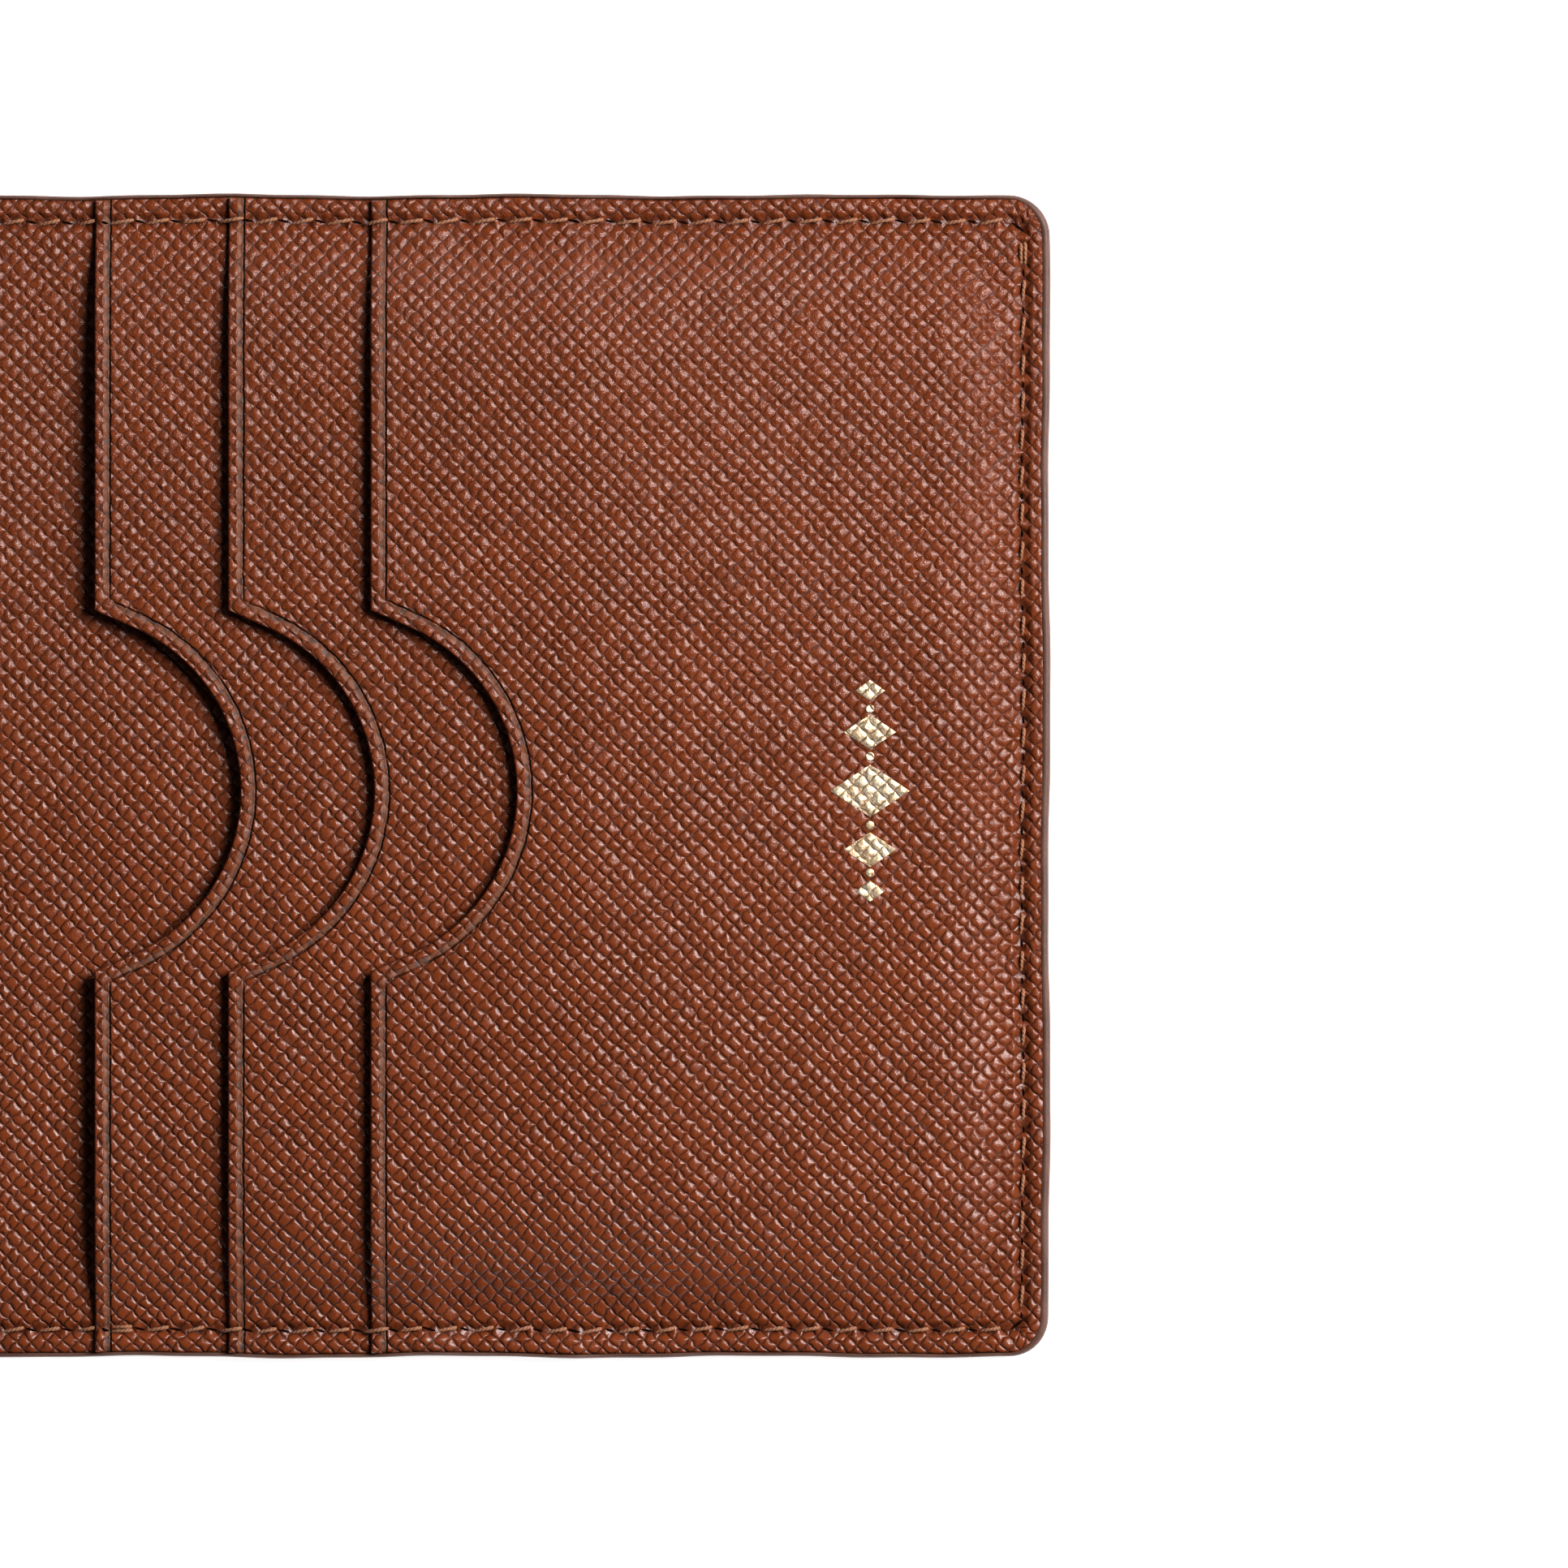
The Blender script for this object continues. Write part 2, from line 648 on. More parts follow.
def cross_grain_group():
    """Leather pressed with two crossing sets of wandering lines, which leave domed square cells."""

    def build(s, given):
        turned = s.node(
            "ShaderNodeVectorRotate", {"Vector": given["Vector"], "Angle": given["Angle"]},
            rotation_type="Z_AXIS",
        ).outputs[0]
        lines = s.node(
            "ShaderNodeVectorMath", {0: turned, "Scale": given["Lines"]}, operation="SCALE"
        ).outputs[0]
        parts = s.parts(lines)
        wobble = s.parts(s.node("ShaderNodeTexNoise", {"Vector": lines, "Scale": 1.1, "Detail": 1.5},
                                noise_dimensions="2D").outputs["Color"])
        places = []
        for axis in (0, 1):
            across, along = parts[axis], parts[1 - axis]
            key = s.vector(s.times(across, 0.62), s.times(along, 0.09), 17.0 * axis + 3.0)
            place = s.times_plus(s.less(s.noise(key, 1.0, 1.0), 0.5), given["Wander"], across)
            places.append(s.times_plus(s.less(wobble[axis], 0.5), given["Wobble"], place))
        signed = [s.times_plus(s.math("FRACT", place), 2.0, -1.0) for place in places]
        away = [s.size(value) for value in signed]
        cell = s.vector(*[s.math("FLOOR", place) for place in places])
        chance = s.node("ShaderNodeTexWhiteNoise", {"Vector": cell}, noise_dimensions="3D").outputs["Color"]
        chance = s.parts(chance)
        domes = [s.less(1.0, s.math("POWER", value, given["Dome"])) for value in away]
        dome = s.math("POWER", s.times(*domes), 0.8)
        creases = s.size(s.less(s.noise(lines, 2.1, 3.0, 0.62), 0.5))
        fine = s.noise(lines, 6.0, 2.0, 0.5)
        tilt = s.math("ADD", *[s.times(s.less(chance[axis], 0.5), signed[axis]) for axis in (0, 1)])
        lift = s.times_plus(tilt, given["Tilt"], s.ease(chance[2], 0.0, 1.0, 0.8, 1.1))
        height = s.times_plus(s.times(creases, 2.2), given["Wrinkle"], s.times(dome, lift))
        height = s.times_plus(fine, s.times(given["Wrinkle"], 0.5), height)
        groove = s.ease(s.math("MAXIMUM", *away), 0.74, 0.98)
        groove = s.times(groove, s.ease(s.noise(lines, 0.33, 1.0), 0.3, 0.6, 0.55, 1.0))
        return {"Height": height, "Groove": groove, "Cell": chance[2]}

    return node_group(
        "Cross Grain", "ShaderNodeTree",
        [
            ("Vector", "NodeSocketVector", None),
            ("Lines", "NodeSocketFloat", 100.0),
            ("Angle", "NodeSocketFloat", 0.78),
            ("Wander", "NodeSocketFloat", 0.75),
            ("Wobble", "NodeSocketFloat", 0.42),
            ("Dome", "NodeSocketFloat", 1.6),
            ("Wrinkle", "NodeSocketFloat", 0.25),
            ("Tilt", "NodeSocketFloat", 0.35),
        ],
        [("Height", "NodeSocketFloat"), ("Groove", "NodeSocketFloat"), ("Cell", "NodeSocketFloat")],
        build,
    )


def stitch_pull_group():
    """Leather gathered by a row of stitches: dimples at the needle holes and darkening in them."""

    def build(s, given):
        phase = s.math("FRACT", s.math("DIVIDE", given["Run"], given["Pitch"]))
        hole = s.ease(s.size(s.less(phase, 0.5)), 0.5, 0.28)
        near = s.ease(s.size(given["Offset"]), 0.5, 0.05)
        line = s.ease(s.size(given["Offset"]), 0.85, 0.1)
        return {"Depth": s.times(s.times_plus(hole, 0.75, 0.25), line), "Dark": s.times(hole, near)}

    return node_group(
        "Stitch Pull", "ShaderNodeTree",
        [
            ("Run", "NodeSocketFloat", 0.0), ("Offset", "NodeSocketFloat", 0.0),
            ("Pitch", "NodeSocketFloat", 2.87),
        ],
        [("Depth", "NodeSocketFloat"), ("Dark", "NodeSocketFloat")],
        build,
    )


def twill_group():
    """Fine twill fabric: diagonal ribs crossed by the other thread."""

    def build(s, given):
        scaled = s.node("ShaderNodeVectorMath", {0: given["Vector"], "Scale": given["Threads"]},
                        operation="SCALE").outputs[0]
        x, y = s.parts(scaled)[:2]
        rib = s.math("FRACT", s.times(s.math("ADD", x, y), 0.5))
        rib = s.less(1.0, s.size(s.times_plus(rib, 2.0, -1.0)))
        cross = s.size(s.math("SINE", s.times(x, math.pi)))
        height = s.times(s.ease(rib, 0.1, 0.9), s.times_plus(cross, 0.35, 0.65))
        return {"Height": s.times_plus(s.noise(scaled, 1.3, 2.0), 0.25, height),
                "Shade": s.ease(height, 0.0, 0.8)}

    return node_group(
        "Twill", "ShaderNodeTree",
        [("Vector", "NodeSocketVector", None), ("Threads", "NodeSocketFloat", 300.0)],
        [("Height", "NodeSocketFloat"), ("Shade", "NodeSocketFloat")],
        build,
    )


PREFIX = "wallet_"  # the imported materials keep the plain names


def new_material(name):
    """An empty material's wiring and its Principled BSDF."""
    material = bpy.data.materials.new(PREFIX + name)
    material.use_nodes = True
    material.node_tree.nodes.clear()
    s = Wiring(material.node_tree)
    surface = s.node("ShaderNodeBsdfPrincipled")
    s.node("ShaderNodeOutputMaterial", {0: surface.outputs[0]})
    return s, surface


def finish(name):
    """A material made earlier, by name."""
    return bpy.data.materials[PREFIX + name]


def coat(s, surface, colour, roughness, height=None, relief=0.0, plain=()):
    """Gives a surface its colour, roughness and relief in mm; plain values stay on its own sockets."""
    s.feed(surface.inputs["Base Color"], colour)
    s.feed(surface.inputs["Roughness"], roughness)
    if height is not None:
        bump = s.node("ShaderNodeBump", {"Height": height, "Distance": relief * MM, "Strength": 1.0})
        s.feed(surface.inputs["Normal"], bump.outputs[0])
    for label, value in plain:
        surface.inputs[label].default_value = value


def flat_vector(s, shift):
    """Flat leather coordinates of a piece, shifted so that no two pieces share a patch of grain."""
    uv = s.node("ShaderNodeUVMap", uv_map="flat").outputs[0]
    return s.node("ShaderNodeMapping", {"Vector": uv, "Location": (shift, 0.61 * shift, 0)}).outputs[0]


def object_place(s):
    """A point's place on its object."""
    return s.node("ShaderNodeTexCoord").outputs["Object"]


def attribute(s, name):
    """A number stored on the piece's points."""
    return s.node("ShaderNodeAttribute", attribute_name=name).outputs["Fac"]


def cross_grain(s, vector, unit, settings):
    """A cross grain node; unit is how many millimetres of leather one unit of its vector is."""
    grain = s.node("ShaderNodeGroup", node_tree=cross_grain_group())
    s.feed(grain.inputs["Vector"], vector)
    grain.inputs["Lines"].default_value = unit / settings.grain_pitch
    grain.inputs["Angle"].default_value = settings.grain_angle
    return grain


def creased_mouth(s, vector, settings, base, height, roughness):
    """Adds the rubbed crease and the dark line beside a pocket's mouth to a leather."""
    distance = attribute(s, "mouth_distance")
    straight = s.less(1.0, s.times(attribute(s, "mouth_corner"), 0.85))
    ragged = s.times_plus(s.less(s.noise(vector, 120.0, 2.0), 0.5), 0.22, distance)
    rub_in = s.ease(ragged, CREASE - 0.36, CREASE - 0.2)
    rub_out = s.ease(ragged, CREASE + 0.24, CREASE + 0.12)
    patch = s.ease(s.noise(vector, 42.0, 2.0), 0.25, 0.5, 0.35, 1.0)
    rub = s.times(s.times(s.times(rub_in, rub_out), patch), straight)
    line = s.times(s.ease(ragged, CREASE + 0.08, CREASE + 0.18), s.ease(ragged, CREASE + 0.34, CREASE + 0.2))
    line = s.times(line, s.ease(s.noise(vector, 75.0, 2.0), 0.32, 0.5, 0.35, 1.0))
    line = s.times(line, straight)
    worn_in = s.times(s.ease(s.noise(vector, 160.0, 2.0), 0.5, 0.62), rub)
    height = s.times(height, s.less(1.0, s.times(rub, 0.5)))
    height = s.less(height, s.times(line, 0.9))
    base = s.mix(s.times(rub, 0.8), base, tone(settings.rub_colour))
    base = s.mix(s.times(worn_in, 0.7), base, tone((0.07, 0.045, 0.04)))
    base = s.mix(s.times(line, 0.85), base, tone(settings.groove_colour, 0.3))
    return base, height, s.times_plus(rub, 0.3, roughness)


def leather_material(name, settings, sewing, shift, has_mouth):
    """Cross-grained leather with its creased mouth and its stitched margin."""
    s, surface = new_material(name)
    vector = flat_vector(s, shift)
    grain = cross_grain(s, vector, 100, settings)
    # the hide is rounder and more wrinkled towards one end of the spine than towards the other
    end = s.parts(s.node("ShaderNodeUVMap", uv_map="flat").outputs[0])[1]
    s.feed(grain.inputs["Dome"], s.ease(end, 0.3, 1.0, 3.0, 1.55))
    s.feed(grain.inputs["Wrinkle"], s.ease(end, 0.3, 1.0, 0.12, 0.33))
    pull = s.node("ShaderNodeGroup", {
        "Run": attribute(s, "seam_run"), "Offset": attribute(s, "seam_offset"), "Pitch": sewing.pitch,
    }, node_tree=stitch_pull_group())

    cloud = s.noise(vector, 9.0, 2.0)
    mottle = s.noise(vector, 60.0, 3.0, 0.6)
    leather, groove = settings.colour, tone(settings.groove_colour)
    base = s.mix(s.ease(grain.outputs["Cell"], 0.0, 1.0, 0.0, 0.5), tone(leather), tone(leather, 0.72))
    base = s.mix(s.ease(cloud, 0.35, 0.7, 0.0, 0.35), base, tone(leather, 1.22))
    base = s.mix(s.ease(mottle, 0.45, 0.75, 0.0, 0.35), base, tone(leather, 0.66))
    base = s.mix(s.times(grain.outputs["Groove"], 0.72), base, groove)
    base = s.mix(s.times(pull.outputs["Dark"], 0.6), base, groove)
    height = s.less(grain.outputs["Height"], s.times(pull.outputs["Depth"], 1.5))
    roughness = s.ease(mottle, 0.3, 0.7, 0.26, 0.35)
    roughness = s.times_plus(grain.outputs["Groove"], 0.4, roughness)
    if has_mouth:
        base, height, roughness = creased_mouth(s, vector, settings, base, height, roughness)
    coat(s, surface, base, roughness, height, 0.18, [("Specular IOR Level", 0.62)])


def rim_material(settings):
    """Painted edge of a pocket's mouth."""
    s, surface = new_material("painted_mouth_rim")
    uneven = s.noise(flat_vector(s, 5.3), 90.0, 3.0, 0.6)
    colour = s.mix(s.ease(uneven, 0.3, 0.7), tone(settings.colour, 0.55), tone(settings.rub_colour, 0.8))
    coat(s, surface, colour, 0.42, uneven, 0.06)


def edge_paint_material():
    """Thick brown edge paint, laid on by hand and a little uneven."""
    s, surface = new_material("edge_paint")
    vector = flat_vector(s, 2.9)
    uneven = s.noise(vector, 26.0, 3.0, 0.55)
    specks = s.noise(vector, 230.0, 2.0, 0.5)
    colour = s.mix(s.ease(uneven, 0.35, 0.65), tone((0.115, 0.048, 0.031)), tone((0.17, 0.077, 0.053)))
    colour = s.mix(s.ease(specks, 0.6, 0.78, 0.0, 0.5), colour, tone((0.04, 0.013, 0.008)))
    coat(s, surface, colour, s.ease(uneven, 0.3, 0.7, 0.44, 0.58), s.times_plus(specks, 0.25, uneven), 0.09)


def twill_material(name, colour, threads, shift):
    """Lining fabric in a fine twill."""
    s, surface = new_material(name)
    vector = flat_vector(s, shift)
    twill = s.node("ShaderNodeGroup", {"Vector": vector, "Threads": threads}, node_tree=twill_group())
    base = s.mix(twill.outputs["Shade"], tone(colour, 0.5), tone(colour, 1.15))
    worn = s.ease(s.noise(vector, 14.0, 2.0), 0.4, 0.75, 0.0, 0.3)
    coat(s, surface, s.mix(worn, base, tone(colour, 1.6)), 0.62, twill.outputs["Height"], 0.08,
         [("Sheen Weight", 0.25), ("Sheen Roughness", 0.4)])


def thread_material(colour):
    """Waxed, two-ply thread: its plies show as slanting stripes round each stitch."""
    s, surface = new_material("waxed_thread")
    around, along = s.parts(s.node("ShaderNodeUVMap", uv_map="thread").outputs[0])[:2]
    turn = s.math("FRACT", s.times_plus(along, 2.6, s.times(around, 2.0)))
    ply = s.less(1.0, s.size(s.times_plus(turn, 2.0, -1.0)))
    fibre = s.noise(object_place(s), 6000.0, 2.0)
    base = s.mix(s.ease(ply, 0.0, 0.5), tone(colour, 0.6), tone(colour))
    base = s.mix(s.ease(fibre, 0.35, 0.7, 0.0, 0.45), base, tone(colour, 1.35))
    coat(s, surface, base, 0.5, s.times_plus(fibre, 0.3, s.math("SQRT", ply)), 0.05, [("Sheen Weight", 0.15)])


def needle_hole_material():
    """The dark inside of a needle's cut."""
    s, surface = new_material("needle_cut")
    shade = s.ease(s.noise(object_place(s), 5000.0, 2.0), 0.3, 0.7)
    coat(s, surface, s.mix(shade, tone((0.004, 0.0015, 0.001)), tone((0.016, 0.005, 0.003))), 1.0,
         plain=[("Specular IOR Level", 0.0)])


def foil_material(settings):
    """Gold foil pressed onto grained leather, whose cells still show through it."""
    s, surface = new_material("gold_foil")
    place = object_place(s)
    grain = cross_grain(s, place, 1000, settings)
    cloud = s.noise(place, 700.0, 3.0, 0.6)
    grit = s.noise(place, 3600.0, 2.0, 0.5)
    colour = s.mix(s.ease(cloud, 0.35, 0.65), tone((1.0, 0.83, 0.58)), tone((0.92, 0.66, 0.4)))
    colour = s.mix(s.times(grain.outputs["Groove"], 0.7), colour, tone((0.25, 0.11, 0.05)))
    coat(s, surface, colour, s.ease(grit, 0.3, 0.7, 0.42, 0.55),
         s.times_plus(grit, 0.25, grain.outputs["Height"]), 0.1, [("Metallic", 0.85)])


def board_material():
    """Bonded leather board: pressed fibres."""
    s, surface = new_material("bonded_board")
    fibre = s.noise(object_place(s), 900.0, 4.0, 0.7)
    coat(s, surface, s.mix(fibre, tone((0.2, 0.12, 0.07)), tone((0.42, 0.28, 0.17))), 0.85, fibre, 0.05)


def base_thread_material(colour):
    """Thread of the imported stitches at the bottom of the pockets."""
    s, surface = new_material("base_thread")
    fibre = s.noise(object_place(s), 5000.0, 3.0)
    coat(s, surface, s.mix(s.ease(fibre, 0.3, 0.7), tone(colour, 0.6), tone(colour)), 0.6, fibre, 0.05)


# ------------------------------------------------------------------------------------------- operators


class WALLET_OT_materials(Operator):
    """Make every material of the wallet"""

    bl_idname = "wallet.materials"
    bl_label = "Materials"

    def execute(self, context):
        leather, sewing = context.scene.wallet_leather, context.scene.wallet_sewing
        for number, sheet in enumerate(SHEETS):
            leather_material(f"leather_{sheet.node}", leather, sewing, 1.37 * number, True)
        leather_material("leather_shell", leather, sewing, 7.1, False)
        rim_material(leather)
        edge_paint_material()
        twill_material("lining_twill", (0.105, 0.036, 0.02), 300, 3.1)
        twill_material("pocket_twill", (0.09, 0.03, 0.017), 360, 4.6)
        base_thread_material(sewing.colour)
        thread_material(sewing.colour)
        needle_hole_material()
        foil_material(leather)
        board_material()
        return {"FINISHED"}


class WALLET_OT_pocket_leather(Operator):
    """Make the slip panels, pocket strips and front panels of both covers"""

    bl_idname = "wallet.pocket_leather"
    bl_label = "Pocket leather"

    def execute(self, context):
        for side in (RIGHT, LEFT):
            for sheet in SHEETS:
                rows = row_places(LEATHER_INSET, sheet.notched)
                x = column_places(sheet, rows, sheet.end > HALF_WIDTH - 2, LEATHER_INSET)
                y = np.broadcast_to(rows[:, None], x.shape)
                top = sheet_top(sheet, x, y)
                bottom = np.minimum(sheet_top(sheet, x, y, finished=False) - LEATHER, top - 0.12)
                edge = mouth_edge(sheet, rows)
                out = np.stack([sheet.mouth - NOTCH_SETBACK - edge, NOTCH_SHIFT - rows], axis=-1)
                out = np.where((edge > sheet.mouth)[:, None], out / NOTCH_RADIUS, [-1.0, 0.0])
                node = f"{SIDE_NAMES[side]}_{sheet.node}"
                piece = slab(node + "_leather", x, y, top, bottom, side,
                             [finish(f"leather_{sheet.node}"), finish("painted_mouth_rim")], out)
                distance, corner = mouth_distance(sheet, x, y)
                give_attribute(piece.data, "mouth_distance", distance, distance)
                give_attribute(piece.data, "mouth_corner", corner)
                put_on_cover(piece, side, node)
        return {"FINISHED"}


def lining_crown(sheet, x):
    """Height of a pocket lining: under its sheet, then straight down to the margin sewn on the slip panel."""
    under = sheet_crown(sheet, x) - LEATHER
    if sheet is FRONT:
        return under
    start = float(sheet_crown(sheet, np.array(sheet.end))) - LEATHER
    base = sheet.mouth + CARD_DEPTH
    fall = np.clip((x - sheet.end) / (base - sheet.end), 0, 1)
    return np.where(x < sheet.end, under, start + (SLIP.top + LINING - start) * fall)


class WALLET_OT_pocket_linings(Operator):
    """Make the fabric that lines the card pockets and closes their bottoms"""

    bl_idname = "wallet.pocket_linings"
    bl_label = "Pocket linings"

    def execute(self, context):
        for side in (RIGHT, LEFT):
            for sheet, node in zip(SHEETS[1:], ("first", "second", "front")):
                rows = row_places(LINING_SIDE, True)
                start = mouth_edge(sheet, rows)[:, None] + LINING_MARGIN
                end = min(sheet.mouth + CARD_DEPTH + BASE_FLANGE, BOARD_HIGH[0])
                x = start + (end - start) * np.linspace(0, 1, 60)
                y = np.broadcast_to(rows[:, None], x.shape)
                seam = seam_level(x, sheet.sheets_under, sheet.ends_under) - LEATHER
                top = seam + (lining_crown(sheet, x) - seam) * plateau(x, y) - 0.03
                top = top + UNEVEN * plateau(x, y) * ripple(x, y, 0.4)
                label = f"{SIDE_NAMES[side]}_{node}_pocket_lining"
                piece = slab(label + "_cloth", x, y, top, top - LINING, side, [finish("pocket_twill")])
                put_on_cover(piece, side, label)
        return {"FINISHED"}


def fold_columns(inset):
    """Places from the spine's middle to the outer edge, close together round the fold line."""

    def spacing(x):
        if abs(x - FOLD_X) < FOLD_REACH + 0.5:
            return 0.22
        return FINE_STEP if HALF_WIDTH - x < FINE_MARGIN else 0.9

    return graded(0.0, HALF_WIDTH - inset, spacing)


def shade_apart_at_middle(mesh):
    """Keeps the cut in the middle of the spine, where the two halves meet, out of the smooth shading."""
    at_middle = np.abs(get_points(mesh)[:, 0]) < 1e-7
    ends = np.empty(len(mesh.edges) * 2, np.int32)
    mesh.edges.foreach_get("vertices", ends)
    mesh.edges.foreach_set("use_edge_sharp", at_middle[ends.reshape(-1, 2)].all(axis=1))


def bend_at_fold(piece):
    """Lets a piece turn from its cover to the spine round the fold line."""
    shade_apart_at_middle(piece.data)
    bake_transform(piece)


class WALLET_OT_shell(Operator):
    """Make the outer leather and its lining, which run on over the spine"""

    bl_idname = "wallet.shell"
    bl_label = "Shell and lining"

    def execute(self, context):
        for side in (RIGHT, LEFT):
            label = SIDE_NAMES[side]
            x, y = np.meshgrid(fold_columns(LEATHER_INSET), row_places(LEATHER_INSET, False))
            arch = spine_arch(x)
            from_edge = edge_distance(x, y)
            under = arch + BOBBIN_VALLEY * bell((from_edge - SEAM_INSET) / 0.5)
            under = under + EDGE_FALL * smooth((1.1 - from_edge) / 0.9)
            shell = slab(f"{label}_shell_leather", x, y, SHELL_TOP + arch, under, side,
                         [finish("leather_shell")], over_spine=True)
            x, y = np.meshgrid(fold_columns(CLOTH_INSET), row_places(CLOTH_INSET, False))
            dip = np.where(x < SLIP.mouth, seam_dip(edge_distance(x, y)), 0)
            top = lining_top(x, y) + spine_arch(x)
            cloth = slab(f"{label}_lining_cloth", x, y, top - dip, top - SHELL_LINING - dip, side,
                         [finish("lining_twill")], over_spine=True)
            put_over_fold(shell, side, "shell")
            put_over_fold(cloth, side, "lining")
        return {"FINISHED"}


def outline_path():
    """Points of the outer edge from the spine round to the spine, with inward directions."""
    angles = np.linspace(math.pi / 2, 0, 13)[1:]
    centre_x, centre_y = HALF_WIDTH - CORNER_RADIUS, HALF_HEIGHT - CORNER_RADIUS
    upper = [(x, HALF_HEIGHT, 0.0, -1.0) for x in fold_columns(CORNER_RADIUS)]
    upper += [
        (centre_x + CORNER_RADIUS * math.cos(a), centre_y + CORNER_RADIUS * math.sin(a),
         -math.cos(a), -math.sin(a))
        for a in angles
    ]
    down = [(HALF_WIDTH, y, -1.0, 0.0) for y in np.linspace(centre_y, 0, 60)[1:]]
    half = np.array(upper + down)
    lower = half[:-1][::-1] * [1, -1, 1, -1]
    return np.vstack([half, lower])


def edge_height(x):
    """Height of the stack of sheets at the outer edge, which the paint covers."""
    stack = np.where(x < SLIP.mouth, FOLD_LEVEL, 0)
    for sheet in SHEETS:
        start = smooth((x - sheet.mouth + 0.3) / 0.9)
        stack = np.where(x > sheet.mouth - 0.3, FOLD_LEVEL + (sheet.sheets_under + start) * LEATHER, stack)
    for end in (FIRST.end, SECOND.end):
        stack = stack - LEATHER * smooth((x - end) / STEP_RAMP)
    return np.maximum(stack, FOLD_LEVEL) + spine_arch(x) - 0.05


def squashed(values, power):
    """Sines or cosines pushed towards a squarer shape."""
    return np.sign(values) * np.abs(values) ** power


class WALLET_OT_edge_paint(Operator):
    """Make the painted bead that seals the sheets' edges"""

    bl_idname = "wallet.edge_paint"
    bl_label = "Painted edge"

    def execute(self, context):
        sides = 16
        turns = np.linspace(0, 2 * math.pi, sides, endpoint=False)
        for side in (RIGHT, LEFT):
            path = outline_path()
            x, y, in_x, in_y = path.T
            on_end = smooth(-in_x)  # 1 on the outer end, 0 on the two long edges
            stack = edge_height(x) - 0.08 * (1 - on_end)
            width = 0.45 + 0.42 * on_end + 0.05 * ripple(3.1 * x, 2.3 * y)
            power = (0.95 - 0.22 * on_end)[:, None]
            inward = 0.5 * width[:, None] * (1 - squashed(np.cos(turns), power))
            half_arch = 0.5 * spine_arch(x)
            middle = 0.5 * stack + 0.03 + half_arch
            half_height = 0.5 * stack + 0.02 - half_arch
            z = middle[:, None] + half_height[:, None] * squashed(np.sin(turns), power)
            ring_x = x[:, None] + in_x[:, None] * inward
            ring_y = y[:, None] + in_y[:, None] * inward
            points = np.stack(settled(ring_x, ring_y, z), axis=-1).reshape(-1, 3)
            index = np.arange(len(path) * sides).reshape(len(path), sides)
            wrapped = np.hstack([index, index[:, :1]])
            quads = [strip_faces(a, b) for a, b in zip(wrapped[1:], wrapped[:-1])]
            run = np.concatenate([[0], np.cumsum(np.hypot(np.diff(x), np.diff(y)))])
            flat = np.stack([np.repeat(run, sides), np.tile(turns, len(path))], axis=-1)
            mesh = new_mesh(f"{SIDE_NAMES[side]}_edge_bead", points, np.vstack(quads), side, flat)
            close_and_turn_outwards(mesh)
            piece = new_object(mesh.name, mesh, [finish("edge_paint")])
            put_over_fold(piece, side, "edge_paint")
        return {"FINISHED"}


# ---------------------------------------------------------------------------------------------- stitches


def stitch_mesh(thread):
    """One stitch of two-ply thread along X, with its ends going down into the leather, in metres."""
    length, radius = 2.25, thread / 2
    rings, sides = 11, 7
    sunk, lift, peak, twist = -0.34, 0.42, 0.6, 1.3  # its ends, its top and where that is, its plies' turns
    mesh = bpy.data.meshes.new("stitch")
    points, uvs = [], []
    for i in range(rings):
        t = i / (rings - 1)
        x = (t - 0.5) * length
        rise = 1 - ((peak - t) / peak) ** 2.2 if t < peak else 1 - ((t - peak) / (1 - peak)) ** 3.4
        z = sunk + lift * rise
        swell = radius * (0.6 + 0.22 * rise + 0.25 * t)
        for k in range(sides):
            angle = 2 * math.pi * k / sides
            lobes = 1 + 0.14 * math.cos(2 * (angle - 2 * math.pi * t * twist))
            points.append((x * MM, swell * lobes * math.cos(angle) * MM,
                           (z + swell * lobes * math.sin(angle)) * MM))
            uvs.append((k / sides, t * length))
    quads = []
    for i in range(rings - 1):
        for k in range(sides):
            a, b = i * sides + k, i * sides + (k + 1) % sides
            quads.append((a, a + sides, b + sides, b))
    ends = [list(range(sides)), [(rings - 1) * sides + k for k in reversed(range(sides))]]
    mesh.from_pydata(points, [], quads + ends)
    uv = mesh.uv_layers.new(name="thread")
    for polygon in mesh.polygons:
        corners = [mesh.loops[i].vertex_index for i in polygon.loop_indices]
        wraps = max(uvs[v][0] for v in corners) - min(uvs[v][0] for v in corners) > 0.5
        for i, v in zip(polygon.loop_indices, corners):
            around, along = uvs[v]
            uv.data[i].uv = (around + (1 if wraps and around < 0.25 else 0), along)
    mesh.shade_smooth()
    close_and_turn_outwards(mesh)
    return mesh


def needle_cut_mesh():
    """A needle's slanting cut beside a stitch: a shallow pointed lens along X, in metres."""
    half_length, half_width, rise, low = 0.58, 0.12, 0.04, -0.16
    count = 10
    angles = [2 * math.pi * k / count for k in range(count)]
    points = [(half_length * math.cos(a), half_width * math.sin(a) * abs(math.sin(a)) ** 0.3, 0)
              for a in angles]
    points += [(0, 0, rise), (0, 0, low)]
    pairs = [(k, (k + 1) % count) for k in range(count)]
    faces = [face for a, b in pairs for face in ((a, b, count), (b, a, count + 1))]
    mesh = bpy.data.meshes.new("needle_cut")
    mesh.from_pydata([tuple(part * MM for part in point) for point in points], [], faces)
    return mesh


